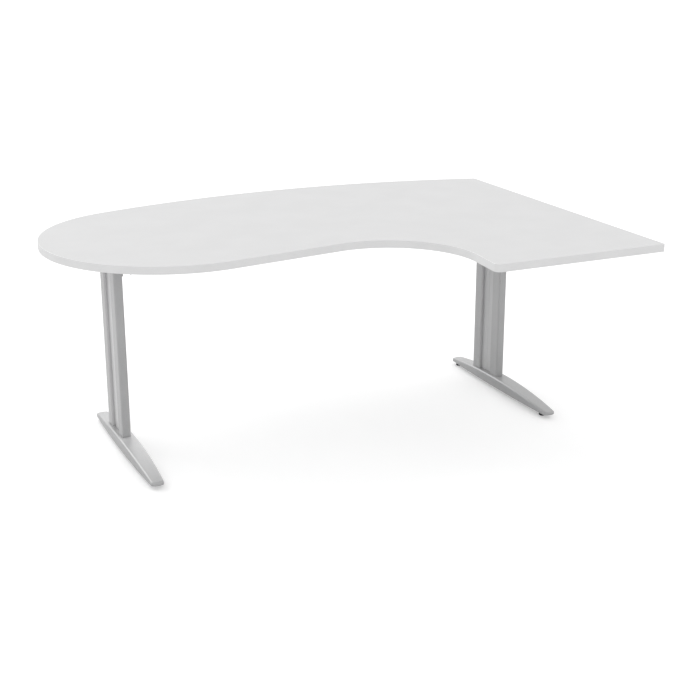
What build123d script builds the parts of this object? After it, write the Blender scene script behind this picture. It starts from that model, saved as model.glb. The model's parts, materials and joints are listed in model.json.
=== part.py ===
from build123d import *
import os
from math import cos, radians, sin, sqrt

# A free-form office desk: one board on two T-shaped legs, tied by a cross beam.
# Millimetres, +X to the straight side, +Y to the back, +Z up.
# The pieces are laid out from the point on the floor midway between the two columns.
# At the end they are moved together, so that the origin is below the middle of the desk.

# Top board
desk_height = 720.0
desk_width = 1800.0
side_length = 1200.0
board_thickness = 25.0
lobe_radius = 425.0
back_bow_radius = 2490.0
back_crown_inset = 754.0
short_end_width = 620.0
short_end_lean = 4.5
user_edge_slope = 8.9
hollow_radius_share = 0.569
front_corner_radius = 20.0
side_corner_radius = 8.0
band_thickness = 2.0
band_edge_radius = 0.8

# Columns
lobe_leg_inset = 232.5
side_leg_inset = 121.5
column_setback = 350.0
post_width = 30.0
post_depth = 50.0
post_corner_radius = 5.0
post_wall = 2.0
channel_width = 74.0
cover_recess = 10.0
cover_thickness = 1.5
cover_flange = 3.5
cover_bead_width = 4.0
cover_bead_height = 1.0
cover_gap = 0.4

# Feet
foot_rear_reach = 243.0
foot_front_reach = 437.0
foot_middle_width = 58.0
foot_tip_width = 42.0
foot_crown_height = 50.0
foot_tip_height = 26.0
foot_clearance = 14.5
foot_end_bow = 7.0
foot_tip_corner = 8.0
foot_edge_radius = 6.0
foot_hollow_radius = 2.0
foot_wall = 4.0
foot_rib = 3.0
foot_rib_pitch = 55.0
foot_rib_drop = 3.0
socket_floor_height = 33.0
socket_base = 8.0
socket_wall = 4.0
socket_gap = 0.5
plug_thickness = 8.0
plug_gap = 0.2
foot_bolt_radius = 4.0
foot_bolt_head_radius = 6.5
foot_bolt_head = 7.0
foot_bolt_spacing = 22.0
bolts_per_post = 2
foot_bolt_tail = 3.0
foot_bolt_key = 3.0

# Levelling glides
glide_rear_inset = 26.0
glide_front_inset = 50.0
glide_radius = 14.0
glide_top_radius = 11.5
glide_height = 11.0
glide_edge = 1.5
stem_radius = 4.0
stem_seat = 5.0
stem_seat_gap = 0.1
stem_headroom = 2.5
thread_gap = 0.3
stem_bore_gap = 1.0
bush_radius = 7.0
bush_length = 7.0
bush_gap = 0.1
boss_wall = 4.0

# Top arms
arm_width = 40.0
arm_height = 30.0
arm_wall = 2.0
arm_corner_radius = 5.0
arm_rear_reach = 230.0
left_arm_front_reach = 300.0
right_arm_front_reach = 640.0
cap_plate = 3.0
cap_plug = 12.0
cap_wall = 1.5
cap_gap = 0.2
cap_edge_radius = 1.0
rear_screw_count = 1
left_front_screw_count = 2
right_front_screw_count = 4
screw_radius = 2.5
screw_head_radius = 4.5
screw_head = 3.0
screw_tip_cover = 7.0
screw_gap = 0.1
screw_point = 4.0
access_hole_radius = 7.0

# Cross beam
beam_height = 60.0
beam_depth = 30.0
beam_wall = 2.0
beam_corner_radius = 4.0
beam_drop = 5.0
plate_thickness = 4.0
plate_margin = 6.0
plate_corner_radius = 8.0
beam_bolt_radius = 3.0
beam_bolt_head_radius = 5.2
beam_bolt_head = 3.3
beam_bolt_inset = 12.0
rivet_nut_wall = 1.6
rivet_nut_length = 9.0

# Fits and cuts
bolt_gap = 0.3
bolt_thread_gap = 0.1
overrun = 5.0
least_corner_share = 0.2

# Levels and places that follow
underside = desk_height - board_thickness
arm_bottom = underside - arm_height
arm_middle = underside - arm_height / 2
post_centre = (channel_width + post_depth) / 2
column_half = channel_width / 2 + post_depth
foot_length = foot_rear_reach + foot_front_reach
foot_centre = (foot_rear_reach - foot_front_reach) / 2
socket_bottom = socket_floor_height - socket_base
beam_middle = arm_bottom - beam_drop - beam_height / 2
plug_top = socket_floor_height + plug_thickness
leg_spacing = desk_width - lobe_leg_inset - side_leg_inset
side_x = leg_spacing / 2 + side_leg_inset
back_y = column_setback
back_drop = sqrt(back_bow_radius**2 - back_crown_inset**2)
middle_x = side_x - desk_width / 2
middle_y = back_y + (back_bow_radius - back_drop - side_length) / 2
front_glide_y = glide_front_inset - foot_front_reach
rear_glide_y = foot_rear_reach - glide_rear_inset


def block(width, depth, bottom, top):
    return Pos(0, 0, bottom) * extrude(Rectangle(width, depth), top - bottom)


def bar(width, depth, radius, bottom, top):
    return Pos(0, 0, bottom) * extrude(RectangleRounded(width, depth, radius), top - bottom)


def rod(radius, bottom, top):
    return Pos(0, 0, bottom) * extrude(Circle(radius), top - bottom)


def tube_section(width, height, radius, wall):
    inner_radius = max(radius - wall, wall * least_corner_share)
    inside = RectangleRounded(width - 2 * wall, height - 2 * wall, inner_radius)
    return RectangleRounded(width, height, radius) - inside


def spread(start, end, count):
    step = (end - start) / count
    return [start + step * (place + 0.5) for place in range(count)]


# A leg's pieces are made with the middle of the desk towards +X, as on the left leg
def on_leg(shape, side):
    turned = mirror(shape, about=Plane.YZ) if side > 0 else shape
    return Pos(side * leg_spacing / 2, 0, 0) * turned


# The top's outline: a bowed back that runs into a round lobe, a straight user's edge, a hollow
# and the short end, each tangent to the next. The hollow's radius is a share of the short end's length.
def top_outline():
    back_centre = Vector(side_x - back_crown_inset, back_y - back_drop)
    lobe_x = side_x - desk_width + lobe_radius
    reach = back_bow_radius - lobe_radius
    lobe_centre = Vector(lobe_x, back_centre.Y + sqrt(reach**2 - (lobe_x - back_centre.X)**2))
    lobe_start = lobe_centre + (lobe_centre - back_centre).normalized() * lobe_radius
    slope = radians(user_edge_slope)
    lean = radians(short_end_lean)
    user_direction = Vector(cos(slope), sin(slope))
    end_direction = Vector(sin(lean), cos(lean))
    lobe_end = lobe_centre + Vector(sin(slope), -cos(slope)) * lobe_radius
    front_corner = Vector(side_x - short_end_width, back_y - side_length)
    across = user_direction.cross(front_corner - lobe_end).Z
    hollow_corner = front_corner - end_direction * (across / user_direction.cross(end_direction).Z)
    side_corner = Vector(side_x, back_y - side_length)
    back_corner = Vector(side_x, back_y)
    edges = [
        ThreePointArc(back_corner, back_centre + Vector(0, back_bow_radius), lobe_start),
        ThreePointArc(lobe_start, lobe_centre - Vector(lobe_radius, 0), lobe_end),
        Line(lobe_end, hollow_corner),
        Line(hollow_corner, front_corner),
        Line(front_corner, side_corner),
        Line(side_corner, back_corner),
    ]
    rounded = (
        (hollow_corner, hollow_radius_share * (front_corner - hollow_corner).length),
        (front_corner, front_corner_radius),
        (side_corner, side_corner_radius),
        (back_corner, side_corner_radius),
    )
    face = make_face(edges).face()
    for corner, radius in rounded:
        face = face.fillet_2d(radius, [face.vertices().sort_by_distance(corner)[0]])
    return face


def screw_places(front_reach, front_count):
    front = spread(-front_reach, -column_half, front_count)
    return front + spread(column_half, arm_rear_reach, rear_screw_count)


# The board stops short of the outline by the band that is glued round it
def top_board(board_face):
    board = Pos(0, 0, underside) * extrude(board_face, board_thickness)
    pilot = rod(screw_radius + screw_gap, underside - overrun, desk_height - screw_tip_cover)
    for side, front_reach, front_count in arm_layout:
        for y in screw_places(front_reach, front_count):
            board -= Pos(side * leg_spacing / 2, y, 0) * pilot
    return board


def top_band(board_face):
    ring = Pos(0, 0, underside) * extrude(Sketch() + top_outline() - board_face, board_thickness)
    rims = [face.outer_wire().edges() for face in ring.faces().filter_by(Axis.Z)]
    return fillet(rims[0] + rims[1], band_edge_radius)


# A post stands in the foot's socket and is welded under the arm
def post(y):
    section = tube_section(post_width, post_depth, post_corner_radius, post_wall)
    tube = Pos(0, 0, socket_floor_height) * extrude(section, arm_bottom - socket_floor_height)
    hole = extrude(Plane.YZ * Circle(beam_bolt_radius + bolt_gap), post_width)
    for z in beam_bolt_levels():
        tube -= Pos(0, 0, z) * hole
    return Pos(0, y, 0) * tube


# Steel plugs in the feet of the posts take the bolts from below
def post_plugs():
    shrink = 2 * (post_wall + plug_gap)
    plug = bar(post_width - shrink, post_depth - shrink, post_corner_radius - shrink / 2,
               socket_floor_height, plug_top)
    thread = rod(foot_bolt_radius + bolt_thread_gap, socket_floor_height - overrun, plug_top + overrun)
    for y in foot_bolt_offsets():
        plug -= Pos(0, y, 0) * thread
    return Part() + [Pos(0, y, 0) * plug for y in (-post_centre, post_centre)]


def foot_bolt_offsets():
    reach = foot_bolt_spacing * bolts_per_post / 2
    return spread(-reach, reach, bolts_per_post)


def foot_bolt_places():
    return [y + offset for y in (-post_centre, post_centre) for offset in foot_bolt_offsets()]


def foot_bolts():
    head_bottom = socket_bottom - foot_bolt_head
    bolt = rod(foot_bolt_head_radius, head_bottom, socket_bottom)
    bolt += rod(foot_bolt_radius, socket_bottom, plug_top + foot_bolt_tail)
    key = RegularPolygon(foot_bolt_key, 6)
    bolt -= Pos(0, 0, head_bottom - overrun) * extrude(key, overrun + foot_bolt_head / 2)
    return Part() + [Pos(0, y, 0) * bolt for y in foot_bolt_places()]


# A clip-in cover between the posts, set back from their faces, with a bead down its middle
def cover(foot_outside):
    face_x = post_width / 2 - cover_recess
    half = channel_width / 2
    flange_x = face_x - cover_flange
    bead = cover_bead_width / 2
    right_points = [
        (face_x + cover_bead_height, 0),
        (face_x, bead),
        (face_x, half),
        (flange_x, half),
        (flange_x, half - cover_thickness),
        (face_x - cover_thickness, half - cover_thickness),
    ]
    left_points = [(x, -y) for x, y in reversed(right_points[1:])]
    profile = make_face(Polyline(*right_points, *left_points, close=True))
    top = arm_bottom - cover_gap
    strip = Pos(0, 0, foot_tip_height) * extrude(profile, top - foot_tip_height)
    return strip - Pos(0, 0, cover_gap) * foot_outside


# Height of the foot's arched top, or of the hollow under it, at a distance along from its middle
def foot_top(distance, inset):
    half = foot_length / 2
    rise = foot_crown_height - foot_tip_height
    radius = (half**2 + rise**2) / (2 * rise)
    return foot_crown_height - radius + sqrt((radius - inset)**2 - distance**2)


# The foot's outer form, or, with an inset, the hollow inside its wall
def foot_form(inset, floor, edge_radius):
    half = foot_length / 2 - inset
    corner_y = half - foot_end_bow
    tip = foot_tip_width / 2 - inset
    middle = foot_middle_width / 2 - inset
    plan_edges = [
        ThreePointArc((tip, -corner_y), (middle, 0), (tip, corner_y)),
        ThreePointArc((tip, corner_y), (0, half), (-tip, corner_y)),
        ThreePointArc((-tip, corner_y), (-middle, 0), (-tip, -corner_y)),
        ThreePointArc((-tip, -corner_y), (0, -half), (tip, -corner_y)),
    ]
    plan = make_face(plan_edges).face()
    plan = plan.fillet_2d(foot_tip_corner - inset, plan.vertices())
    column = Pos(0, 0, floor) * extrude(plan, foot_crown_height)
    beyond = half + overrun
    end_top = foot_top(beyond, inset)
    side_edges = [
        Line((-beyond, end_top), (-beyond, floor - overrun)),
        Line((-beyond, floor - overrun), (beyond, floor - overrun)),
        Line((beyond, floor - overrun), (beyond, end_top)),
        ThreePointArc((beyond, end_top), (0, foot_crown_height - inset), (-beyond, end_top)),
    ]
    arch = extrude(Plane.YZ * make_face(side_edges), foot_middle_width, both=True)
    body = column & arch
    rim = body.faces().sort_by(Axis.Z)[-1].edges()
    return Pos(0, foot_centre, 0) * fillet(rim, edge_radius)


# What stands in the foot's hollow: a block under each post, a boss over each glide, and ribs
def foot_inside():
    top = foot_crown_height
    rib_bottom = foot_clearance + foot_rib_drop
    side = 2 * (socket_gap + socket_wall)
    seat = bar(post_width + side, post_depth + side, post_corner_radius + side / 2, socket_bottom, top)
    boss = rod(bush_radius + bush_gap + boss_wall, foot_clearance, top)
    inside = Pos(0, -post_centre, 0) * seat + Pos(0, post_centre, 0) * seat
    for start, end in ((front_glide_y, -column_half), (column_half, rear_glide_y)):
        count = max(1, round((end - start) / foot_rib_pitch))
        inside += Pos(0, (start + end) / 2, 0) * block(foot_rib, end - start, rib_bottom, top)
        for y in spread(start, end, count):
            inside += Pos(0, y, 0) * block(foot_middle_width, foot_rib, rib_bottom, top)
    for y in (front_glide_y, rear_glide_y):
        inside += Pos(0, y, 0) * boss
    return inside


def foot(foot_outside):
    hollow = foot_form(foot_wall, foot_clearance - overrun, foot_hollow_radius)
    body = foot_outside - (hollow - foot_inside())
    socket = bar(post_width + 2 * socket_gap, post_depth + 2 * socket_gap, post_corner_radius + socket_gap,
                 socket_floor_height, foot_crown_height + overrun)
    bolt_hole = rod(foot_bolt_radius + bolt_gap, socket_bottom - overrun, socket_floor_height + overrun)
    bush_bore = rod(bush_radius + bush_gap, foot_clearance - overrun, foot_clearance + bush_length)
    stem_bore = rod(stem_radius + stem_bore_gap, foot_clearance, stem_top() + stem_headroom)
    for y in (-post_centre, post_centre):
        body -= Pos(0, y, 0) * socket
    for y in foot_bolt_places():
        body -= Pos(0, y, 0) * bolt_hole
    for y in (front_glide_y, rear_glide_y):
        body -= Pos(0, y, 0) * bush_bore
        body -= Pos(0, y, 0) * stem_bore
    return body


# The stem ends below the foot's top wall by its headroom, at the glide where that is lowest
def stem_top():
    distances = (foot_centre - front_glide_y, rear_glide_y - foot_centre)
    return foot_top(max(distances), foot_wall) - stem_headroom


def glide_bushes():
    bush = rod(bush_radius, foot_clearance, foot_clearance + bush_length)
    bush -= rod(stem_radius + thread_gap, 0, foot_clearance + bush_length + overrun)
    return Part() + [Pos(0, y, 0) * bush for y in (front_glide_y, rear_glide_y)]


def glide_pad(y):
    corners = [(0, 0), (glide_radius, 0), (glide_top_radius, glide_height), (0, glide_height)]
    half_profile = Polyline(*corners, close=True)
    pad = revolve(Plane.XZ * make_face(half_profile), Axis.Z)
    pad = fillet(pad.edges().filter_by(GeomType.CIRCLE), glide_edge)
    pad -= rod(stem_radius + stem_seat_gap, glide_height - stem_seat, glide_height + overrun)
    return Pos(0, y, 0) * pad


def glide_stem(y):
    return Pos(0, y, 0) * rod(stem_radius, glide_height - stem_seat, stem_top())


# The arm lies under the board, with a wide hole below each screw for the driver
def arm(front_reach, front_count):
    section = tube_section(arm_width, arm_height, arm_corner_radius, arm_wall)
    back_end = arm_rear_reach - cap_plate
    length = back_end + front_reach - cap_plate
    tube = Pos(0, back_end, arm_middle) * extrude(Plane.XZ * section, length)
    access = rod(access_hole_radius, arm_bottom - overrun, arm_middle)
    screw_hole = rod(screw_radius + bolt_gap, arm_middle, underside + overrun)
    for y in screw_places(front_reach, front_count):
        tube -= Pos(0, y, 0) * (access + screw_hole)
    return tube


def arm_cap(y, direction):
    plate = extrude(Plane.XZ * RectangleRounded(arm_width, arm_height, arm_corner_radius), -cap_plate)
    plate = fillet(plate.faces().sort_by(Axis.Y)[-1].edges(), cap_edge_radius)
    shrink = 2 * (arm_wall + cap_gap)
    plug_radius = arm_corner_radius - shrink / 2
    plug_section = tube_section(arm_width - shrink, arm_height - shrink, plug_radius, cap_wall)
    cap = plate + extrude(Plane.XZ * plug_section, cap_plug)
    turned = cap if direction > 0 else Rot(0, 0, 180) * cap
    return Pos(0, y - direction * cap_plate, arm_middle) * turned


def arm_screws(front_reach, front_count):
    head_top = underside - arm_wall
    point = desk_height - screw_tip_cover - screw_gap
    half_profile = Polyline(
        (0, head_top - screw_head),
        (screw_head_radius, head_top - screw_head),
        (screw_head_radius, head_top),
        (screw_radius, head_top),
        (screw_radius, point - screw_point),
        (0, point),
        close=True,
    )
    screw = revolve(Plane.XZ * make_face(half_profile), Axis.Z)
    return Part() + [Pos(0, y, 0) * screw for y in screw_places(front_reach, front_count)]


def beam():
    end = leg_spacing / 2 - post_width / 2 - plate_thickness
    section = tube_section(beam_depth, beam_height, beam_corner_radius, beam_wall)
    return Pos(-end, 0, beam_middle) * extrude(Plane.YZ * section, 2 * end)


def beam_bolt_levels():
    reach = beam_height / 2 - beam_bolt_inset
    return (beam_middle - reach, beam_middle + reach)


def beam_bolt_places():
    return [(y, z) for y in (-post_centre, post_centre) for z in beam_bolt_levels()]


def beam_plate():
    width = 2 * (column_half - plate_margin)
    outline = RectangleRounded(width, beam_height, plate_corner_radius)
    plate = Pos(post_width / 2, 0, beam_middle) * extrude(Plane.YZ * outline, plate_thickness)
    hole = extrude(Plane.YZ * Circle(beam_bolt_radius + bolt_gap), post_width)
    for y, z in beam_bolt_places():
        plate -= Pos(0, y, z) * hole
    return plate


def beam_bolts():
    seat = post_width / 2 + plate_thickness
    shank_end = post_width / 2 - post_wall - rivet_nut_length
    shank = Pos(shank_end, 0, 0) * extrude(Plane.YZ * Circle(beam_bolt_radius), seat - shank_end)
    head = Pos(seat, 0, 0) * extrude(Plane.YZ * Circle(beam_bolt_head_radius), beam_bolt_head)
    head = fillet(head.edges().sort_by(Axis.X)[-1], beam_bolt_head / 2)
    return Part() + [Pos(0, y, z) * (shank + head) for y, z in beam_bolt_places()]


# Rivet nuts behind the posts' inner walls
def beam_nuts():
    bore = beam_bolt_radius + bolt_thread_gap
    ring = Circle(bore + rivet_nut_wall) - Circle(bore)
    inner_wall = post_width / 2 - post_wall
    nut = Pos(inner_wall - rivet_nut_length, 0, 0) * extrude(Plane.YZ * ring, rivet_nut_length)
    return Part() + [Pos(0, y, z) * nut for y, z in beam_bolt_places()]


arm_layout = (
    (-1, left_arm_front_reach, left_front_screw_count),
    (1, right_arm_front_reach, right_front_screw_count),
)
board_face = offset(top_outline(), -band_thickness).face()
foot_outside = foot_form(0, foot_clearance, foot_edge_radius)
inner_cover = cover(foot_outside)
leg_pieces = {
    "foot": foot(foot_outside),
    "front_post": post(-post_centre),
    "rear_post": post(post_centre),
    "cover_inner": inner_cover,
    "cover_outer": mirror(inner_cover, about=Plane.YZ),
    "post_plugs": post_plugs(),
    "foot_bolts": foot_bolts(),
    "glide_bushes": glide_bushes(),
    "front_glide": glide_pad(front_glide_y),
    "rear_glide": glide_pad(rear_glide_y),
    "front_stem": glide_stem(front_glide_y),
    "rear_stem": glide_stem(rear_glide_y),
    "arm_cap_rear": arm_cap(arm_rear_reach, 1),
    "beam_plate": beam_plate(),
    "beam_bolts": beam_bolts(),
    "beam_nuts": beam_nuts(),
}

nodes = {
    "top_board": top_board(board_face),
    "top_band": top_band(board_face),
    "beam": beam(),
}
for side, front_reach, front_count in arm_layout:
    hand = "left" if side < 0 else "right"
    arm_pieces = {
        "arm": arm(front_reach, front_count),
        "arm_cap_front": arm_cap(-front_reach, -1),
        "arm_screws": arm_screws(front_reach, front_count),
    }
    for name, shape in (leg_pieces | arm_pieces).items():
        nodes[f"{hand}_{name}"] = on_leg(shape, side)

to_origin = Pos(-middle_x, -middle_y, 0)
os.makedirs("parts", exist_ok=True)
for name, shape in nodes.items():
    export_step(to_origin * shape, f"parts/{name}.step")
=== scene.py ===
import json
import math

import bmesh
import bpy
from bpy.props import FloatProperty, FloatVectorProperty, IntProperty, PointerProperty
from bpy.types import Operator, Panel, PropertyGroup
from mathutils import Euler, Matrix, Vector


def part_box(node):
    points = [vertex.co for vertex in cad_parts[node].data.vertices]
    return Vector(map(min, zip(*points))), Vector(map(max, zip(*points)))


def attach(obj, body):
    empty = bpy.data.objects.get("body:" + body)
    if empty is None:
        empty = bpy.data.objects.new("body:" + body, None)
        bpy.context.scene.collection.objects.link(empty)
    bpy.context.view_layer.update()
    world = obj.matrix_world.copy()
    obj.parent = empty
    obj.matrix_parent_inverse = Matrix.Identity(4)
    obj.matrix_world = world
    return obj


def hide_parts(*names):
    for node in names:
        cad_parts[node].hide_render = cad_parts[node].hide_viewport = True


bl_info = {
    "name": "Free-form office desk",
    "version": (1, 0, 0),
    "blender": (4, 5, 0),
    "location": "3D View > Sidebar > Desk",
    "description": "Finishes a free-form office desk on two T-shaped legs and sets it in a studio",
    "category": "Object",
}

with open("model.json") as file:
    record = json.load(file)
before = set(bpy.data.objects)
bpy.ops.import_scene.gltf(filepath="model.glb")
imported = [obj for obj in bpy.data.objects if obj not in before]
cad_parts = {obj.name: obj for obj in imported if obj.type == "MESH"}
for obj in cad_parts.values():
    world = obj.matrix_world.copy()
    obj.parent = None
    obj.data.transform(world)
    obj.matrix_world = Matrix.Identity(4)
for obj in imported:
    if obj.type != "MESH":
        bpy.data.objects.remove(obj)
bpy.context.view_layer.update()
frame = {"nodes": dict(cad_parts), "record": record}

MM = 0.001
SIDES = ("left", "right")
ENDS = ("front", "rear")
UNTURNED = (0.0, 0.0, 0.0)
MERGE_WITHIN = 1e-6
CUT_PAST = 1 * MM

# The record has one slot for all covers. These nodes have a finish of their own: a lighter copy of the
# covers' finish, painted light that offsets the shade in the channel on the desk's ends.
OWN_FINISHES = {"left_cover_outer": "outer_cover_painted_light", "right_cover_outer": "outer_cover_painted_light"}

# Values that several finishes share.
CLOUD_LOW = 0.3
CLOUD_HIGH = 0.7
FLAKE_SCALE = 2300.0
COAT_WEIGHT = 0.4
COAT_ROUGHNESS = 0.2

# How far round the posts' corners the painted light on the channel's walls reaches, and how light it is.
# This painted light offsets the shade that falls in the channel.
CHANNEL_CORNER = 2.5 * MM
CHANNEL_PAINTED_LIGHT = 1.2

# Faces that meet at less than this angle, in degrees, are shaded as one.
SMOOTH_ANGLE = 38.0
THREAD_SMOOTH_ANGLE = 30.0


# Settings


class DeskColours(PropertyGroup):
    """The colours a user would change."""

    board: FloatVectorProperty(
        name="Board", description="Melamine face of the top", subtype="COLOR", min=0, max=1,
        default=(0.61, 0.61, 0.612),
    )
    band: FloatVectorProperty(
        name="Edge band", description="Plastic edging of the top", subtype="COLOR", min=0, max=1,
        default=(0.725, 0.725, 0.727),
    )
    coat: FloatVectorProperty(
        name="Frame coat", description="Silver powder coat of posts, arms and beam", subtype="COLOR",
        min=0, max=1, default=(0.44, 0.441, 0.444),
    )
    cast: FloatVectorProperty(
        name="Foot coat", description="Silver powder coat of the cast feet", subtype="COLOR", min=0, max=1,
        default=(0.44, 0.441, 0.444),
    )
    inner_cover: FloatVectorProperty(
        name="Inner covers", description="Covers between the posts, towards the knees", subtype="COLOR",
        min=0, max=1, default=(0.55, 0.551, 0.554),
    )
    # Lighter than the inner covers: painted light that offsets the shade in the channel on the desk's ends.
    outer_cover_painted_light: FloatVectorProperty(
        name="Outer covers", description="Covers between the posts, on the desk's ends", subtype="COLOR",
        min=0, max=1, default=(0.69, 0.691, 0.694),
    )
    steel: FloatVectorProperty(
        name="Bare steel", description="Machined steel of the posts' plugs", subtype="COLOR", min=0, max=1,
        default=(0.42, 0.42, 0.43),
    )
    zinc: FloatVectorProperty(
        name="Fasteners", description="Zinc plate on bolts, screws, nuts and stems", subtype="COLOR",
        min=0, max=1, default=(0.62, 0.63, 0.65),
    )
    brass: FloatVectorProperty(
        name="Bushes", description="Brass of the glides' threaded bushes", subtype="COLOR", min=0, max=1,
        default=(0.70, 0.53, 0.27),
    )
    glide: FloatVectorProperty(
        name="Glides", description="Black plastic of the glides", subtype="COLOR", min=0, max=1,
        default=(0.022, 0.022, 0.024),
    )
    cap: FloatVectorProperty(
        name="Arm caps", description="Grey plastic of the arms' end caps", subtype="COLOR", min=0, max=1,
        default=(0.30, 0.302, 0.306),
    )


class DeskSizes(PropertyGroup):
    """The sizes of the small pieces a user would change."""

    grips: IntProperty(name="Grips", description="Finger grips round a glide", default=12, min=6, max=24)
    grip_depth: FloatProperty(
        name="Grip depth", description="Depth of a finger grip", subtype="DISTANCE", unit="LENGTH",
        default=0.7 * MM,
    )
    stem_pitch: FloatProperty(
        name="Stem pitch", description="Pitch of the glide stems' thread", subtype="DISTANCE", unit="LENGTH",
        default=1.25 * MM,
    )
    weld_radius: FloatProperty(
        name="Weld radius", description="Radius of a weld run", subtype="DISTANCE", unit="LENGTH",
        default=2.6 * MM,
    )
    weld_ripple: FloatProperty(
        name="Weld ripple", description="Length of one ripple of a weld run", subtype="DISTANCE",
        unit="LENGTH", default=1.6 * MM,
    )


class DeskStudio(PropertyGroup):
    """The studio's lights and floor."""

    ambient: FloatProperty(
        name="Ambient", description="Strength of the light from all round", default=1.0, min=0
    )
    key: FloatProperty(
        name="Key light", description="Strength of the broad light from behind the desk", default=0.95, min=0
    )
    foot_fill: FloatProperty(
        name="Foot fill", description="Power of the low soft light between the feet", default=4.2, min=0,
        unit="POWER",
    )
    floor_glow: FloatProperty(
        name="Floor glow", description="Light that the floor adds to itself", default=0.35, min=0
    )
    floor_radius: FloatProperty(
        name="Floor radius", description="Radius of the studio floor", subtype="DISTANCE", unit="LENGTH",
        default=45.0,
    )


# Finishes


class Amount:
    """A number that varies over a surface, for use in sums."""

    def __init__(self, finish, socket):
        self.finish = finish
        self.socket = socket

    def __add__(self, other):
        return self.finish.math("ADD", self, other)

    def __sub__(self, other):
        return self.finish.math("SUBTRACT", self, other)

    def __rsub__(self, other):
        return self.finish.math("SUBTRACT", other, self)

    def __mul__(self, other):
        return self.finish.math("MULTIPLY", self, other)

    __radd__ = __add__
    __rmul__ = __mul__


class Finish:
    """A material whose nodes vary it over the surface."""

    def __init__(self, name, metallic=0.0, coat=0.0, specular=0.5):
        self.material = bpy.data.materials.new(name)
        self.material.use_nodes = True
        self.tree = self.material.node_tree
        self.tree.nodes.clear()
        self.shader = self.tree.nodes.new("ShaderNodeBsdfPrincipled")
        output = self.tree.nodes.new("ShaderNodeOutputMaterial")
        self.tree.links.new(self.shader.outputs["BSDF"], output.inputs["Surface"])
        self.shader.inputs["Metallic"].default_value = metallic
        self.shader.inputs["Coat Weight"].default_value = coat
        self.shader.inputs["Coat Roughness"].default_value = COAT_ROUGHNESS
        self.shader.inputs["Specular IOR Level"].default_value = specular
        self.place = self.node("ShaderNodeTexCoord", output="Object")

    def node(self, kind, settings=None, inputs=None, output=0):
        """A new node's output, after its settings and inputs are set."""
        made = self.tree.nodes.new(kind)
        for name, value in (settings or {}).items():
            setattr(made, name, value)
        for key, value in (inputs or {}).items():
            self.feed(made.inputs[key], value)
        return Amount(self, made.outputs[output])

    def feed(self, socket, value):
        """Links an amount to a socket, or sets the socket to a number."""
        if isinstance(value, Amount):
            self.tree.links.new(value.socket, socket)
        else:
            socket.default_value = value

    def vary(self, name, value):
        """Feeds one of the shader's own sockets."""
        self.feed(self.shader.inputs[name], value)

    def math(self, operation, first, second=0.0):
        return self.node("ShaderNodeMath", {"operation": operation}, {0: first, 1: second})

    def stretched(self, stretch):
        """The object's coordinates, scaled on each axis."""
        return self.node("ShaderNodeMapping", inputs={"Vector": self.place, "Scale": stretch})

    def noise(self, scale, detail, roughness=0.5, stretch=None):
        """A noise, finer with a larger scale, and longer on the axes where its stretch is below 1."""
        vector = self.stretched(stretch) if stretch else self.place
        return self.node(
            "ShaderNodeTexNoise",
            inputs={"Vector": vector, "Scale": scale, "Detail": detail, "Roughness": roughness},
        )

    def flakes(self, scale):
        """A random number for each small cell."""
        inputs = {"Vector": self.place, "Scale": scale}
        cell = self.node("ShaderNodeTexVoronoi", inputs=inputs, output="Color")
        return self.node("ShaderNodeSeparateColor", inputs={"Color": cell})

    def part(self, axis):
        """One of the object's coordinates."""
        return self.node("ShaderNodeSeparateXYZ", inputs={"Vector": self.place}, output=axis)

    def facing(self, axis):
        """How far the surface faces along an axis, from -1 to 1."""
        normal = self.node("ShaderNodeTexCoord", output="Normal")
        return self.node("ShaderNodeSeparateXYZ", inputs={"Vector": normal}, output=axis)

    def between(self, value, low, high):
        """0 up to low, 1 from high on, and a soft step from one to the other."""
        return self.node(
            "ShaderNodeMapRange",
            {"interpolation_type": "SMOOTHSTEP"},
            {"Value": value, "From Min": low, "From Max": high, "To Min": 0.0, "To Max": 1.0},
        )

    def clouded(self, cloud):
        """A noise whose usual values are spread over 0 to 1."""
        return self.between(cloud, CLOUD_LOW, CLOUD_HIGH)

    def edges(self, radius):
        """1 where two faces meet within the radius."""
        rounded = self.node("ShaderNodeBevel", {"samples": 6}, {"Radius": radius})
        true = self.node("ShaderNodeNewGeometry", output="Normal")
        alike = self.node(
            "ShaderNodeVectorMath", {"operation": "DOT_PRODUCT"}, {0: rounded, 1: true}, output="Value"
        )
        return self.between(1.0 - alike, 0.01, 0.16)

    def mixed(self, factor, first, second):
        """A colour between two."""
        return self.node(
            "ShaderNodeMix",
            {"data_type": "RGBA"},
            {0: factor, 6: colour(first), 7: colour(second)},
            output=2,
        )

    def relief(self, height, distance, over=None):
        """A bumped normal, over another one where that is given."""
        inputs = {"Height": height, "Distance": distance, "Strength": 1.0}
        if over is not None:
            inputs["Normal"] = over
        return self.node("ShaderNodeBump", inputs=inputs)


def colour(value):
    """An amount as it is, or a colour with its alpha."""
    return value if isinstance(value, Amount) else (*value, 1.0)


def shade(base, factor):
    """A colour made lighter or darker."""
    return tuple(min(1.0, channel * factor) for channel in base)


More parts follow.
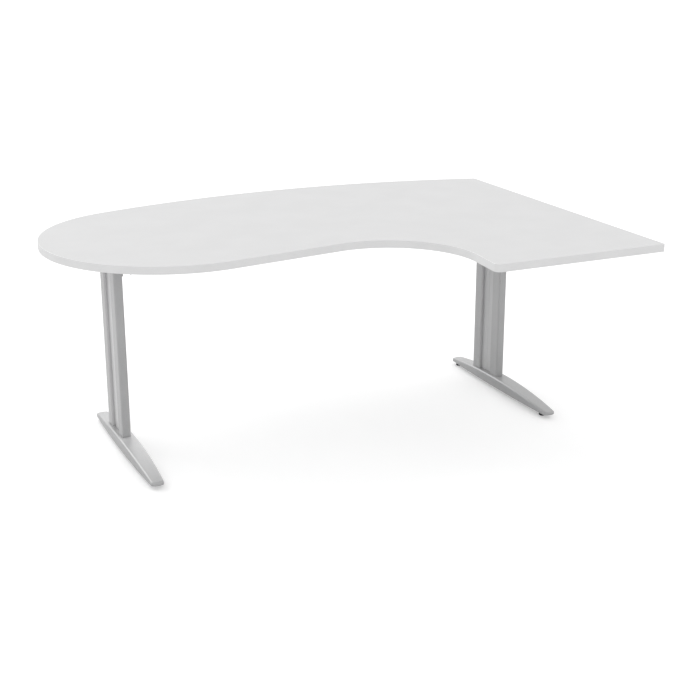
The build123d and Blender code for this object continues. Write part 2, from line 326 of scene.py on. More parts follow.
def melamine(colours):
    """Matt melamine with a fine pearl emboss, faint mottling and streaks of the sheen of use."""
    finish = Finish("melamine_face", specular=0.42)
    mottle = finish.noise(7.0, 4.0)
    print_grain = finish.noise(260.0, 2.0)
    pearl = finish.noise(1500.0, 2.0, 0.6)
    pores = finish.between(finish.flakes(2600.0), 0.93, 0.99)
    wipes = finish.noise(3.2, 5.0, 0.62, (0.35, 1.6, 1.0))
    # Downward faces: their colour is painted darker as painted shade under the top, and they are rougher.
    under = finish.between(finish.facing("Z"), -0.2, -0.8)
    tone = finish.mixed(finish.clouded(mottle), shade(colours.board, 0.985), shade(colours.board, 1.01))
    tone = finish.mixed(finish.between(print_grain, 0.35, 0.75) * 0.25, tone, shade(colours.board, 0.965))
    tone = finish.mixed(pores * 0.10, tone, shade(colours.board, 0.86))
    # Painted shade on the top's underside.
    tone = finish.mixed(under * 0.8, tone, shade(colours.board, 0.93))
    finish.vary("Base Color", tone)
    finish.vary("Roughness", 0.47 + wipes * 0.16 - mottle * 0.04 + under * 0.1)
    finish.vary("Normal", finish.relief(pearl + print_grain * 0.35, 0.03 * MM))
    return finish.material


def edging(colours, low, high):
    """Satin plastic edging, scraped along its length, with a faint glue line and rubbed rims."""
    finish = Finish("edge_banding", specular=0.45)
    height = finish.part("Z")
    scrape = finish.noise(60.0, 3.0, 0.6, (1.0, 1.0, 45.0))
    fine = finish.noise(1800.0, 2.0)
    cloud = finish.noise(11.0, 3.0)
    rim = finish.edges(0.9 * MM)
    knocks = finish.between(finish.noise(38.0, 4.0, 0.7), 0.60, 0.74) * rim
    top_line = finish.between(height, high - 1.2 * MM, high - 0.4 * MM)
    glue_height = low + 0.6 * MM
    glue = 1.0 - finish.between(finish.math("ABSOLUTE", height - glue_height), 0.0, 0.5 * MM)
    tone = finish.mixed(finish.clouded(cloud), shade(colours.band, 0.985), shade(colours.band, 1.012))
    tone = finish.mixed(finish.between(scrape, 0.45, 0.8) * 0.3, tone, shade(colours.band, 0.955))
    tone = finish.mixed(rim * 0.35, tone, shade(colours.band, 1.05))
    tone = finish.mixed(top_line * 0.45, tone, colours.board)
    tone = finish.mixed(glue * 0.35, tone, shade(colours.band, 0.82))
    tone = finish.mixed(knocks * 0.4, tone, shade(colours.band, 0.88))
    finish.vary("Base Color", tone)
    finish.vary("Roughness", 0.40 + scrape * 0.12 + knocks * 0.15 - rim * 0.06)
    finish.vary("Normal", finish.relief(scrape * 0.6 + fine * 0.4 - knocks, 0.035 * MM))
    return finish.material


def painted_light_channel_walls(finish):
    """1 on the posts' walls that face the channel between them, fading out round the corners. It masks
    painted light that offsets the shade in the channel.
    """
    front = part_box("left_front_post")[1].y
    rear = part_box("left_rear_post")[0].y
    half = (rear - front) / 2
    off_middle = finish.math("ABSOLUTE", finish.part("Y") - (front + rear) / 2)
    return 1.0 - finish.between(off_middle, half, half + CHANNEL_CORNER)


def powder_coat(name, base, peel_scale, peel_depth, kicks_below, channel):
    """Silver powder coat: metal flakes under a satin skin, orange peel, rubbed edges and low scuffs.

    With channel, the posts' walls that face the channel are painted lighter: painted light that offsets the
    shade falling in the channel.
    """
    finish = Finish(name, coat=COAT_WEIGHT)
    flake = finish.flakes(FLAKE_SCALE)
    glint = finish.between(flake, 0.90, 0.985)
    cloud = finish.noise(6.0, 4.0, 0.55)
    peel = finish.noise(peel_scale, 2.0, 0.5)
    skin = finish.noise(1700.0, 1.0)
    rub = finish.edges(1.4 * MM) * finish.between(finish.noise(34.0, 4.0, 0.65), 0.35, 0.75)
    low_down = 1.0 - finish.between(finish.part("Z"), kicks_below * 0.25, kicks_below)
    streaks = finish.between(finish.noise(30.0, 5.0, 0.7, (1.0, 0.35, 2.4)), 0.60, 0.76)
    scuff = streaks * low_down
    lies_flat = finish.between(finish.facing("Z"), 0.55, 0.95)
    dust = lies_flat * finish.between(finish.noise(24.0, 5.0, 0.6), 0.42, 0.8)
    tone = finish.mixed(finish.clouded(cloud), shade(base, 0.955), shade(base, 1.03))
    tone = finish.mixed(finish.between(flake, 0.0, 1.0) * 0.5, tone, shade(base, 0.84))
    tone = finish.mixed(glint * 0.45, tone, shade(base, 1.5))
    tone = finish.mixed(rub * 0.45, tone, shade(base, 1.28))
    tone = finish.mixed(scuff * 0.35, tone, shade(base, 0.62))
    tone = finish.mixed(dust * 0.16, tone, (0.62, 0.61, 0.59))
    # Painted light: the posts' walls in the channel are lightened against the shade that falls there.
    if channel:
        tone = finish.mixed(painted_light_channel_walls(finish), tone, shade(base, CHANNEL_PAINTED_LIGHT))
    finish.vary("Base Color", tone)
    finish.vary("Metallic", 0.34 - dust * 0.1 - scuff * 0.1)
    finish.vary("Roughness", 0.32 + cloud * 0.07 + scuff * 0.16 + dust * 0.18 - rub * 0.07 - glint * 0.06)
    skin_relief = finish.relief(skin, 0.012 * MM)
    finish.vary("Normal", finish.relief(peel - scuff * 0.3, peel_depth, skin_relief))
    return finish.material


def ribbed_cover(name, base):
    """Extruded cover with fine lines along its length under a silver coat."""
    finish = Finish(name, metallic=0.2, coat=COAT_WEIGHT)
    lines = finish.noise(900.0, 2.0, 0.6, (1.0, 1.0, 0.012))
    flake = finish.flakes(FLAKE_SCALE)
    cloud = finish.noise(9.0, 3.0, 0.5, (1.0, 1.0, 0.3))
    rim = finish.edges(0.8 * MM)
    low_down = 1.0 - finish.between(finish.part("Z"), 0.05, 0.16)
    dust = low_down * finish.between(finish.noise(40.0, 5.0, 0.65), 0.35, 0.7)
    tone = finish.mixed(finish.clouded(cloud), shade(base, 0.95), shade(base, 1.03))
    tone = finish.mixed(lines * 0.35, tone, shade(base, 0.86))
    tone = finish.mixed(finish.between(flake, 0.88, 0.98) * 0.4, tone, shade(base, 1.4))
    tone = finish.mixed(rim * 0.5, tone, shade(base, 1.28))
    tone = finish.mixed(dust * 0.3, tone, (0.5, 0.49, 0.47))
    finish.vary("Base Color", tone)
    finish.vary("Roughness", 0.42 + lines * 0.1 + dust * 0.2 - rim * 0.05)
    finish.vary("Normal", finish.relief(lines, 0.02 * MM))
    return finish.material


def plated(name, base, line_stretch, tarnish):
    """Bare or plated metal with machining lines, a broken tarnish and bright edges."""
    finish = Finish(name, metallic=1.0)
    lines = finish.noise(1400.0, 2.0, 0.6, line_stretch)
    patch = finish.noise(120.0, 4.0, 0.6)
    spots = finish.between(finish.noise(420.0, 3.0, 0.7), 0.62, 0.74)
    rim = finish.edges(0.5 * MM)
    tone = finish.mixed(finish.between(patch, 0.35, 0.7), base, tarnish)
    tone = finish.mixed(lines * 0.3, tone, shade(base, 0.75))
    tone = finish.mixed(rim * 0.6, tone, shade(base, 1.3))
    tone = finish.mixed(spots * 0.35, tone, shade(tarnish, 0.6))
    finish.vary("Base Color", tone)
    finish.vary("Roughness", 0.28 + patch * 0.16 + lines * 0.1 + spots * 0.2 - rim * 0.06)
    finish.vary("Normal", finish.relief(lines + spots * 0.5, 0.02 * MM))
    return finish.material


def moulded(name, base, dust_tone, dust_height):
    """Moulded plastic with a spark-eroded grain, rubbed rims and dust.

    The dust fades out up to its height, or lies all over where that is 0.
    """
    finish = Finish(name, specular=0.4)
    grain = finish.noise(1100.0, 3.0, 0.65)
    cloud = finish.noise(60.0, 3.0)
    rim = finish.edges(0.7 * MM)
    dust = finish.between(finish.noise(190.0, 4.0, 0.7), 0.45, 0.8)
    if dust_height:
        dust = dust * (1.0 - finish.between(finish.part("Z"), 0.0, dust_height))
    tone = finish.mixed(finish.clouded(cloud), shade(base, 0.88), shade(base, 1.12))
    tone = finish.mixed(rim * 0.35, tone, shade(dust_tone, 0.6))
    tone = finish.mixed(dust * 0.3, tone, dust_tone)
    finish.vary("Base Color", tone)
    finish.vary("Roughness", 0.52 + grain * 0.14 + dust * 0.15 - rim * 0.1)
    finish.vary("Normal", finish.relief(grain, 0.03 * MM))
    return finish.material


def make_finishes(colours):
    """One finish for each of the record's slots, and those of OWN_FINISHES."""
    band_low, band_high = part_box("top_band")
    return {
        "top_laminate": melamine(colours),
        "edge_band": edging(colours, band_low.z, band_high.z),
        "frame_steel": powder_coat(
            "frame_coat", colours.coat, peel_scale=520.0, peel_depth=0.05 * MM,
            # channel=True paints light onto the posts' walls in the channel, against its shade.
            kicks_below=220 * MM, channel=True,
        ),
        "foot_cast": powder_coat(
            "foot_coat", colours.cast, peel_scale=330.0, peel_depth=0.09 * MM,
            kicks_below=50 * MM, channel=False,
        ),
        "cover_plastic": ribbed_cover("inner_cover", colours.inner_cover),
        # A lighter copy of the inner covers' finish: painted light against the channel's shade.
        "outer_cover_painted_light": ribbed_cover("outer_cover_painted_light", colours.outer_cover_painted_light),
        "bare_steel": plated(
            "machined_steel", colours.steel, line_stretch=(1.0, 0.02, 1.0), tarnish=(0.33, 0.31, 0.29)
        ),
        "fastener_steel": plated(
            "zinc_plate", colours.zinc, line_stretch=(1.0, 1.0, 0.05), tarnish=(0.56, 0.57, 0.52)
        ),
        "bush_brass": plated(
            "turned_brass", colours.brass, line_stretch=(0.1, 0.1, 1.0), tarnish=(0.46, 0.33, 0.16)
        ),
        "glide_plastic": moulded(
            "black_glide_plastic", colours.glide, dust_tone=(0.24, 0.235, 0.225), dust_height=4 * MM
        ),
        "cap_plastic": moulded(
            "grey_cap_plastic", colours.cap, dust_tone=(0.40, 0.395, 0.385), dust_height=0.0
        ),
    }


# Modelling


def put_down():
    """Leaves edit mode and deselects everything."""
    if bpy.context.object and bpy.context.object.mode != "OBJECT":
        bpy.ops.object.mode_set(mode="OBJECT")
    bpy.ops.object.select_all(action="DESELECT")


def take_up(piece):
    """Makes a piece the only selected one and the active one."""
    put_down()
    piece.select_set(True)
    bpy.context.view_layer.objects.active = piece


def edit(piece):
    """Opens a piece in edit mode, for faces, with nothing selected."""
    take_up(piece)
    bpy.ops.object.mode_set(mode="EDIT")
    bpy.ops.mesh.select_mode(type="FACE")
    bpy.ops.mesh.select_all(action="DESELECT")


def pick_faces(piece, wanted):
    """Selects, in edit mode, the faces for which wanted(centre, normal) is true."""
    mesh = bmesh.from_edit_mesh(piece.data)
    for face in mesh.faces:
        face.select_set(bool(wanted(face.calc_center_median(), face.normal)))
    mesh.select_flush_mode()
    bmesh.update_edit_mesh(piece.data)


def widen(ratio):
    """Scales what is selected across the Z axis."""
    bpy.ops.transform.resize(value=(ratio, ratio, 1), center_override=(0, 0, 0))


def column(corners, radius, low, high):
    """A new column on the Z axis, with its place in its mesh."""
    put_down()
    bpy.ops.mesh.primitive_cylinder_add(
        vertices=corners, radius=radius, depth=high - low, location=(0, 0, (low + high) / 2)
    )
    bpy.ops.object.transform_apply(location=True, rotation=True, scale=True)
    return bpy.context.object


def turned(name, rings, corners):
    """A closed turned body on the Z axis. Its rings are (height, radius), from its foot up."""
    (foot, foot_radius), (top, radius) = rings[:2]
    piece = column(corners, foot_radius, foot, top)
    piece.name = name
    edit(piece)
    pick_faces(piece, lambda centre, normal: normal.z > 0.9)
    widen(radius / foot_radius)
    for height, next_radius in rings[2:]:
        bpy.ops.mesh.extrude_region_move(TRANSFORM_OT_translate={"value": (0, 0, height - top)})
        widen(next_radius / radius)
        top, radius = height, next_radius
    put_down()
    return piece


def finish_with(piece, kind, **settings):
    """Adds a modifier and applies it."""
    take_up(piece)
    modifier = piece.modifiers.new(kind.title(), kind)
    for name, value in settings.items():
        setattr(modifier, name, value)
    bpy.ops.object.modifier_apply(modifier=modifier.name)


def soften(piece, width, segments, angle):
    """Rounds the edges where faces meet at more than the angle, in degrees."""
    finish_with(
        piece,
        "BEVEL",
        width=width,
        segments=segments,
        limit_method="ANGLE",
        angle_limit=math.radians(angle),
        harden_normals=False,
    )
    take_up(piece)
    bpy.ops.object.shade_smooth_by_angle(angle=math.radians(SMOOTH_ANGLE))


def cut(piece, cutter):
    """Takes the cutter's form out of a piece and removes the cutter."""
    finish_with(piece, "BOOLEAN", operation="DIFFERENCE", object=cutter, solver="EXACT")
    put_down()
    bpy.data.objects.remove(cutter)


def hex_key(width, low, high):
    """A cutter for the socket of a six-sided key, from its width across the flats."""
    return column(6, width / math.sqrt(3), low, high)


def settle(piece, place, turn):
    """Moves and turns a piece, with its place in its mesh and its object at the origin."""
    take_up(piece)
    piece.location = place
    piece.rotation_euler = Euler(turn)
    bpy.ops.object.transform_apply(location=True, rotation=True, scale=True)


def copy_to(piece, name, places):
    """Joined copies of a piece at several places, each a point and a turn."""
    copies = []
    for place, turn in places:
        take_up(piece)
        bpy.ops.object.duplicate()
        made = bpy.context.object
        settle(made, place, turn)
        copies.append(made)
    put_down()
    for made in copies:
        made.select_set(True)
    bpy.context.view_layer.objects.active = copies[0]
    if len(copies) > 1:
        bpy.ops.object.join()
    joined = bpy.context.object
    joined.name = name
    return joined


def clothe(piece, finish_name, body):
    """Gives a piece its finish and the body it rides on."""
    piece.data.materials.clear()
    piece.data.materials.append(finishes[finish_name])
    put_down()
    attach(piece, body)


def node_islands(node):
    """(lowest, highest) corner of each separate solid of a CAD node."""
    mesh = bmesh.new()
    mesh.from_mesh(frame["nodes"][node].data)
    bmesh.ops.remove_doubles(mesh, verts=mesh.verts, dist=MERGE_WITHIN)
    left = set(mesh.verts)
    boxes = []
    while left:
        queue = [left.pop()]
        island = []
        while queue:
            vertex = queue.pop()
            island.append(vertex.co.copy())
            for edge in vertex.link_edges:
                other = edge.other_vert(vertex)
                if other in left:
                    left.remove(other)
                    queue.append(other)
        low = Vector([min(point[axis] for point in island) for axis in range(3)])
        high = Vector([max(point[axis] for point in island) for axis in range(3)])
        boxes.append((low, high))
    mesh.free()
    return sorted(boxes, key=lambda box: tuple(round(value, 5) for value in box[0]))


def upright_places(node):
    """Place of each upright solid of a CAD node, at the middle of its lower end."""
    places = []
    for low, high in node_islands(node):
        place = ((low.x + high.x) / 2, (low.y + high.y) / 2, low.z)
        places.append((place, UNTURNED))
    return places


def stand_in(model, node, name, places, finish_name, body):
    """Puts copies of a model, joined in one piece, where a CAD node is."""
    piece = copy_to(model, f"{node}_{name}", places)
    clothe(piece, finish_name, body)
    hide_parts(node)


def stand_in_glides(model, kind, name, finish_name):
    """Puts a model in place of that kind of node of all four glides, and removes it."""
    for side in SIDES:
        for end in ENDS:
            node = f"{side}_{end}_{kind}"
            low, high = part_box(node)
            centre = (low + high) / 2
            places = [((centre.x, centre.y, low.z), UNTURNED)]
            stand_in(model, node, name, places, finish_name, f"{side}_{end}_foot_glide")
    bpy.data.objects.remove(model)


# Pieces


class DESK_OT_finish_nodes(Operator):
    """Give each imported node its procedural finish."""

    bl_idname = "desk.finish_nodes"
    bl_label = "Finish the packed nodes"

    def execute(self, context):
        for subpart in frame["record"]["subparts"]:
            node = frame["nodes"][subpart["node"]]
            material = finishes[OWN_FINISHES.get(subpart["node"], subpart["material_slot"])]
            if not node.material_slots:
                node.data.materials.append(material)
            for slot in node.material_slots:
                slot.material = material
        return {"FINISHED"}


class DESK_OT_glide_pads(Operator):
    """Model the glides' black pads with finger grips and a hollow sole."""

    bl_idname = "desk.glide_pads"
    bl_label = "Glide pads"

    def execute(self, context):
        sizes = context.scene.desk_sizes
        low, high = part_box("left_front_glide")
        stem_low, stem_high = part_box("left_front_stem")
        radius = (high.x - low.x) / 2
        height = high.z - low.z
        bore = (stem_high.x - stem_low.x) / 2
        corners = 4 * sizes.grips
        grip_rim = 0.25 * MM
        grip_low = height * 0.27
        grip_high = height * 0.72
        sole_rim = radius * 0.22
        sole_step = radius * 0.05
        sole_depth = 0.5 * MM
        rings = [
            (0.0, radius * 0.93),
            (height * 0.09, radius),
            (height * 0.24, radius),
            (grip_low, radius * 0.965),
            (grip_high, radius * 0.90),
            (height * 0.76, radius * 0.87),
            (height, radius * 0.80),
            (height, radius * 0.60),
            (height * 0.93, radius * 0.56),
            (height * 0.93, bore),
            (stem_low.z, bore),
        ]
        pad = turned("glide_pad", rings, corners)
        edit(pad)
        grip_angle = 2 * math.pi / sizes.grips

        def in_grip(centre, normal):
            """True for the middle half of each grip's share of the pad's side."""
            if not grip_low < centre.z < grip_high or abs(normal.z) > 0.5:
                return False
            if normal.x * centre.x + normal.y * centre.y < 0:
                return False
            turn = (math.atan2(centre.y, centre.x) / grip_angle) % 1.0
            return 0.25 < turn < 0.75

        pick_faces(pad, in_grip)
        bpy.ops.mesh.inset(thickness=grip_rim, depth=0.0, use_even_offset=True)
        bpy.ops.transform.shrink_fatten(value=-sizes.grip_depth)
        pick_faces(pad, lambda centre, normal: normal.z < -0.9 and centre.z < MERGE_WITHIN)
        bpy.ops.mesh.inset(thickness=sole_rim)
        bpy.ops.mesh.inset(thickness=sole_step, depth=-sole_depth)
        soften(pad, width=0.18 * MM, segments=2, angle=24.0)
        stand_in_glides(pad, "glide", "pad", "glide_plastic")
        return {"FINISHED"}


class DESK_OT_glide_stems(Operator):
    """Model the glides' threaded stems."""

    bl_idname = "desk.glide_stems"
    bl_label = "Glide stems"

    def execute(self, context):
        pitch = context.scene.desk_sizes.stem_pitch
        low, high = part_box("left_front_stem")
        radius = (high.x - low.x) / 2
        length = high.z - low.z
        tooth = pitch / 2
        steps_per_turn = 20
        put_down()
        bpy.ops.mesh.primitive_plane_add(
            size=pitch / math.sqrt(2),
            location=(radius - tooth, 0, -tooth),
            rotation=(math.pi / 2, math.pi / 4, 0),
        )
        stem = bpy.context.object
        stem.name = "glide_stem"
        bpy.ops.object.transform_apply(location=True, rotation=True, scale=True)
        bpy.ops.object.mode_set(mode="EDIT")
        bpy.ops.mesh.select_mode(type="VERT")
        mesh = bmesh.from_edit_mesh(stem.data)
        inner = min(mesh.verts, key=lambda vertex: vertex.co.x)
        for vertex in mesh.verts:
            vertex.select_set(vertex is inner)
        mesh.select_flush_mode()
        bpy.ops.mesh.delete(type="VERT")
        finish_with(
            stem,
            "SCREW",
            axis="Z",
            angle=2 * math.pi,
            screw_offset=pitch,
            iterations=math.ceil(length / pitch) + 2,
            steps=steps_per_turn,
            render_steps=steps_per_turn,
            use_normal_calculate=True,
        )
        edit(stem)
        bpy.ops.mesh.select_mode(type="VERT")
        bpy.ops.mesh.select_all(action="SELECT")
        bpy.ops.mesh.remove_doubles(threshold=MERGE_WITHIN)
        for level, outward in ((0.0, -1), (length, 1)):
            bpy.ops.mesh.select_all(action="SELECT")
            bpy.ops.mesh.bisect(
                plane_co=(0, 0, level), plane_no=(0, 0, outward), use_fill=True, clear_outer=True
            )
        bpy.ops.mesh.select_all(action="SELECT")
        bpy.ops.mesh.normals_make_consistent(inside=False)
        take_up(stem)
        bpy.ops.object.shade_smooth_by_angle(angle=math.radians(THREAD_SMOOTH_ANGLE))
        stand_in_glides(stem, "stem", "threaded", "fastener_steel")
        return {"FINISHED"}


class DESK_OT_foot_bolts(Operator):
    """Model the socket-head bolts that hold the posts in the feet."""

    bl_idname = "desk.foot_bolts"
    bl_label = "Foot bolts"

    def execute(self, context):
        low, high = node_islands("left_foot_bolts")[0]
        head_radius = (high.x - low.x) / 2
        head = 7 * MM
        shank_radius = 4 * MM
        chamfer = 1 * MM
        knurl_angle = 10
        knurl_rim = 0.12 * MM
        knurl_depth = 0.25 * MM
        key = 6 * MM
        length = high.z - low.z
        rings = [
            (0.0, head_radius * 0.93),
            (head * 0.08, head_radius),
            (head, head_radius),
            (head, shank_radius),
            (length - chamfer, shank_radius),
            (length, shank_radius * 0.78),
        ]
        bolt = turned("foot_bolt", rings, corners=360 // knurl_angle)
        edit(bolt)

        def in_knurl(centre, normal):
            """True for every other face round the head."""
            degrees = math.degrees(math.atan2(centre.y, centre.x))
            return head * 0.1 < centre.z < head * 0.9 and int(degrees // knurl_angle) % 2 == 0

        pick_faces(bolt, in_knurl)
        bpy.ops.mesh.inset(thickness=knurl_rim, use_individual=True)
        bpy.ops.transform.shrink_fatten(value=-knurl_depth)
        put_down()
        cut(bolt, hex_key(key, low=-CUT_PAST, high=head * 0.55))
        soften(bolt, width=0.15 * MM, segments=1, angle=34.0)
        for side in SIDES:
            node = f"{side}_foot_bolts"
            stand_in(bolt, node, "socket_head", upright_places(node), "fastener_steel", "desk")
        bpy.data.objects.remove(bolt)
        return {"FINISHED"}


class DESK_OT_beam_bolts(Operator):
    """Model the button-head bolts of the beam's plates."""

    bl_idname = "desk.beam_bolts"
    bl_label = "Beam bolts"

    def execute(self, context):
        low, high = node_islands("left_beam_bolts")[0]
        head_radius = (high.y - low.y) / 2
        head = 3.3 * MM
        shank_radius = 3 * MM
        chamfer = 0.8 * MM
        key = 4 * MM
        length = high.x - low.x
        shank = length - head
        rings = [
            (0.0, shank_radius * 0.8),
            (chamfer, shank_radius),
            (shank, shank_radius),
            (shank, head_radius),
        ]
        dome_rings = 6
        for step in range(1, dome_rings + 1):
            share = step / dome_rings
            height = shank + head * math.sin(share * math.pi / 2) ** 0.8
            rings.append((height, head_radius * (1 - 0.42 * share**2.2)))
        bolt = turned("beam_bolt", rings, corners=32)
        cut(bolt, hex_key(key, low=shank + head * 0.35, high=length + CUT_PAST))
        soften(bolt, width=0.12 * MM, segments=1, angle=40.0)
        for side, sign in (("left", 1), ("right", -1)):
            node = f"{side}_beam_bolts"
            places = []
            for low, high in node_islands(node):
                start = low.x if sign > 0 else high.x
                place = (start, (low.y + high.y) / 2, (low.z + high.z) / 2)
                places.append((place, (0, sign * math.pi / 2, 0)))
            stand_in(bolt, node, "button_head", places, "fastener_steel", "desk")
        bpy.data.objects.remove(bolt)
        return {"FINISHED"}


class DESK_OT_arm_screws(Operator):
    """Model the cross-head screws that hold the top on the arms."""

    bl_idname = "desk.arm_screws"
    bl_label = "Arm screws"

    def execute(self, context):
        low, high = node_islands("left_arm_screws")[0]
        head_radius = (high.x - low.x) / 2
        head = 3 * MM
        shank_radius = 2.5 * MM
        length = high.z - low.z
        tip = 4 * MM
        slot = (4.6 * MM, 0.9 * MM, head * 0.9)
        rings = [
            (0.0, head_radius * 0.55),
            (head * 0.22, head_radius * 0.84),
            (head * 0.55, head_radius),
            (head, head_radius),
            (head, shank_radius),
            (length - tip, shank_radius),
            (length, shank_radius * 0.08),
        ]
        screw = turned("arm_screw", rings, corners=28)
        for turn in (0.0, math.pi / 2):
            put_down()
            bpy.ops.mesh.primitive_cube_add(size=1.0, location=(0, 0, head * 0.2), rotation=(0, 0, turn))
            blade = bpy.context.object
            blade.scale = slot
            bpy.ops.object.transform_apply(location=True, rotation=True, scale=True)
            cut(screw, blade)
        soften(screw, width=0.1 * MM, segments=1, angle=40.0)
        for side in SIDES:
            node = f"{side}_arm_screws"
            stand_in(screw, node, "cross_head", upright_places(node), "fastener_steel", "desk")
        bpy.data.objects.remove(screw)
        return {"FINISHED"}


class DESK_OT_weld_runs(Operator):
    """Model the coated weld runs between posts and arms and between beam and plates."""

    bl_idname = "desk.weld_runs"
    bl_label = "Weld runs"

    # Shares of the post's depth and of the beam's height that the runs cover.
    post_share = 0.66
    beam_share = 0.78

    # Shares of the run's radius at its ends, in the valleys between ripples and on the outermost ripples.
    end_share = 0.45
    valley_share = 0.86
    outermost_share = 0.72

    def run(self, name, length, radius, ripple_length):
        """A rippled weld run along the X axis, centred on the origin."""
        count = max(4, round(length / ripple_length))
        step = length / count
        rings = [(0.0, radius * self.end_share)]
        for ripple in range(count):
            share = self.outermost_share if ripple in (0, count - 1) else 1.0
            rings.append((step * (ripple + 0.5), radius * share))
            rings.append((step * (ripple + 1), radius * self.valley_share))
        rings[-1] = (length, radius * self.end_share)
        bead = turned(name, rings, corners=14)
        settle(bead, (-length / 2, 0, 0), (0, math.pi / 2, 0))
        soften(bead, width=0.15 * MM, segments=1, angle=20.0)
        return bead

    def execute(self, context):
        sizes = context.scene.desk_sizes
        radius = sizes.weld_radius
        ripple = sizes.weld_ripple
        post_low, post_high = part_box("left_front_post")
        post_run = self.run("post_run", (post_high.y - post_low.y) * self.post_share, radius, ripple)
        beam_low, beam_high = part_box("beam")
        beam_run = self.run("beam_run", (beam_high.z - beam_low.z) * self.beam_share, radius, ripple)
        for side in SIDES:
            places = []
            for end in ENDS:
                low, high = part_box(f"{side}_{end}_post")
                for x in (low.x, high.x):
                    places.append(((x, (low.y + high.y) / 2, high.z), (0, 0, math.pi / 2)))
            piece = copy_to(post_run, f"{side}_arm_welds", places)
            clothe(piece, "frame_steel", "desk")
        for side, end_x in (("left", beam_low.x), ("right", beam_high.x)):
            middle_z = (beam_low.z + beam_high.z) / 2
            places = [((end_x, y, middle_z), (0, math.pi / 2, 0)) for y in (beam_low.y, beam_high.y)]
            piece = copy_to(beam_run, f"{side}_beam_welds", places)
            clothe(piece, "frame_steel", "desk")
        bpy.data.objects.remove(post_run)
        bpy.data.objects.remove(beam_run)
        return {"FINISHED"}


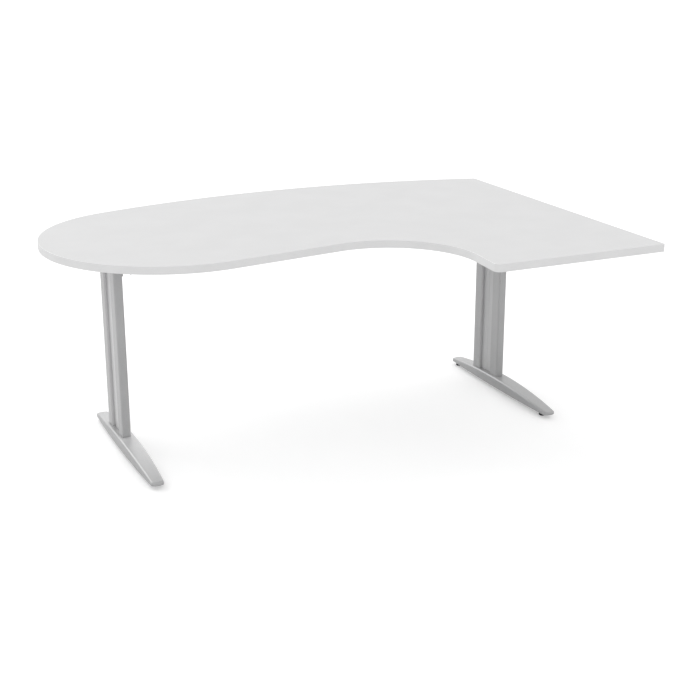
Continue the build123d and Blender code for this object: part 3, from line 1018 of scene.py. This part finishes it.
class DESK_OT_studio(Operator):
    """Set the floor, the lights and the camera."""

    bl_idname = "desk.studio"
    bl_label = "Studio"

    floor_tones = ((0.74, 0.74, 0.74), (0.76, 0.76, 0.76))
    white = (1.0, 1.0, 1.0, 1.0)
    sun_place = (-1.0, 3.0, 3.0)
    sun_angle = 50.0
    fill_place = (-0.22, 0.15, 0.33)
    fill_target = (-0.27, 0.12, 0.0)
    fill_size = 0.3
    fill_spread = 140.0

    # The photograph's camera: metres, degrees and millimetres.
    camera_place = (-1.7056, -3.8915, 1.7062)
    camera_tilt = 71.62
    camera_heading = -24.96
    camera_lens = 67.32
    camera_sensor = 36.0
    camera_reach = 200.0

    def reach(self, source, name, target, state):
        """Lets a light reach only the target, or all but the target."""
        reached = bpy.data.collections.new(name)
        reached.objects.link(target)
        reached.collection_objects[0].light_linking.link_state = state
        source.light_linking.receiver_collection = reached

    def floor(self, studio):
        """A wide round floor whose glow adds light to the floor alone."""
        put_down()
        bpy.ops.mesh.primitive_circle_add(
            vertices=96, radius=studio.floor_radius, fill_type="NGON", location=(0, 0, 0)
        )
        floor = bpy.context.object
        floor.name = "studio_floor"
        finish = Finish("studio_floor_paint", specular=0.2)
        cloud = finish.noise(0.6, 3.0)
        finish.vary("Base Color", finish.mixed(finish.clouded(cloud), *self.floor_tones))
        finish.vary("Roughness", 0.82 + cloud * 0.06)
        finish.shader.inputs["Emission Color"].default_value = self.white
        finish.shader.inputs["Emission Strength"].default_value = studio.floor_glow
        floor.data.materials.append(finish.material)
        self.reach(floor, "floor_glow_reaches", floor, "INCLUDE")
        return floor

    def air(self, studio):
        """White light from all round."""
        world = bpy.data.worlds.new("studio_air")
        bpy.context.scene.world = world
        world.use_nodes = True
        back = world.node_tree.nodes["Background"]
        back.inputs["Color"].default_value = self.white
        back.inputs["Strength"].default_value = studio.ambient

    def lamp(self, name, kind, place, target, **settings):
        """A light at a place, aimed at a target, that the camera doesn't see."""
        put_down()
        bpy.ops.object.light_add(type=kind, location=place)
        lamp = bpy.context.object
        lamp.name = name
        aim = Vector(target) - Vector(place)
        lamp.rotation_euler = aim.to_track_quat("-Z", "Y").to_euler()
        lamp.visible_camera = False
        for key, value in settings.items():
            setattr(lamp.data, key, value)
        return lamp

    def camera(self):
        """The camera, where the photograph's camera was."""
        put_down()
        bpy.ops.object.camera_add(
            location=self.camera_place,
            rotation=(math.radians(self.camera_tilt), 0, math.radians(self.camera_heading)),
        )
        camera = bpy.context.object
        camera.name = "studio_camera"
        camera.data.lens = self.camera_lens
        camera.data.sensor_width = self.camera_sensor
        camera.data.clip_end = self.camera_reach
        bpy.context.scene.camera = camera

    def execute(self, context):
        studio = context.scene.desk_studio
        floor = self.floor(studio)
        self.air(studio)
        self.lamp(
            "key", "SUN", self.sun_place, (0, 0, 0), energy=studio.key, angle=math.radians(self.sun_angle)
        )
        fill = self.lamp(
            "foot_fill",
            "AREA",
            self.fill_place,
            self.fill_target,
            energy=studio.foot_fill,
            shape="SQUARE",
            size=self.fill_size,
            spread=math.radians(self.fill_spread),
        )
        fill.visible_glossy = False
        self.reach(fill, "foot_fill_misses", floor, "EXCLUDE")
        self.camera()
        view = context.scene.view_settings
        view.view_transform = "Standard"
        view.look = "None"
        return {"FINISHED"}


class DESK_PT_panel(Panel):
    """Lists the desk's steps and settings."""

    bl_idname = "DESK_PT_panel"
    bl_label = "Free-form desk"
    bl_space_type = "VIEW_3D"
    bl_region_type = "UI"
    bl_category = "Desk"

    def draw(self, context):
        for group in (context.scene.desk_colours, context.scene.desk_sizes, context.scene.desk_studio):
            box = self.layout.box()
            for name in group.bl_rna.properties.keys():
                if name not in ("rna_type", "name"):
                    box.prop(group, name)
        for step in STEPS:
            self.layout.operator(step.bl_idname)


SETTINGS = {"desk_colours": DeskColours, "desk_sizes": DeskSizes, "desk_studio": DeskStudio}
STEPS = (
    DESK_OT_finish_nodes,
    DESK_OT_glide_pads,
    DESK_OT_glide_stems,
    DESK_OT_foot_bolts,
    DESK_OT_beam_bolts,
    DESK_OT_arm_screws,
    DESK_OT_weld_runs,
    DESK_OT_studio,
)
finishes = {}


def register():
    for kind in (*SETTINGS.values(), *STEPS, DESK_PT_panel):
        bpy.utils.register_class(kind)
    for name, kind in SETTINGS.items():
        setattr(bpy.types.Scene, name, PointerProperty(type=kind))
    finishes.update(make_finishes(bpy.context.scene.desk_colours))


def unregister():
    for name in SETTINGS:
        delattr(bpy.types.Scene, name)
    for kind in (DESK_PT_panel, *reversed(STEPS), *SETTINGS.values()):
        bpy.utils.unregister_class(kind)


def main():
    register()
    bpy.ops.desk.finish_nodes()
    bpy.ops.desk.glide_pads()
    bpy.ops.desk.glide_stems()
    bpy.ops.desk.foot_bolts()
    bpy.ops.desk.beam_bolts()
    bpy.ops.desk.arm_screws()
    bpy.ops.desk.weld_runs()
    bpy.ops.desk.studio()


if __name__ == "__main__":
    main()
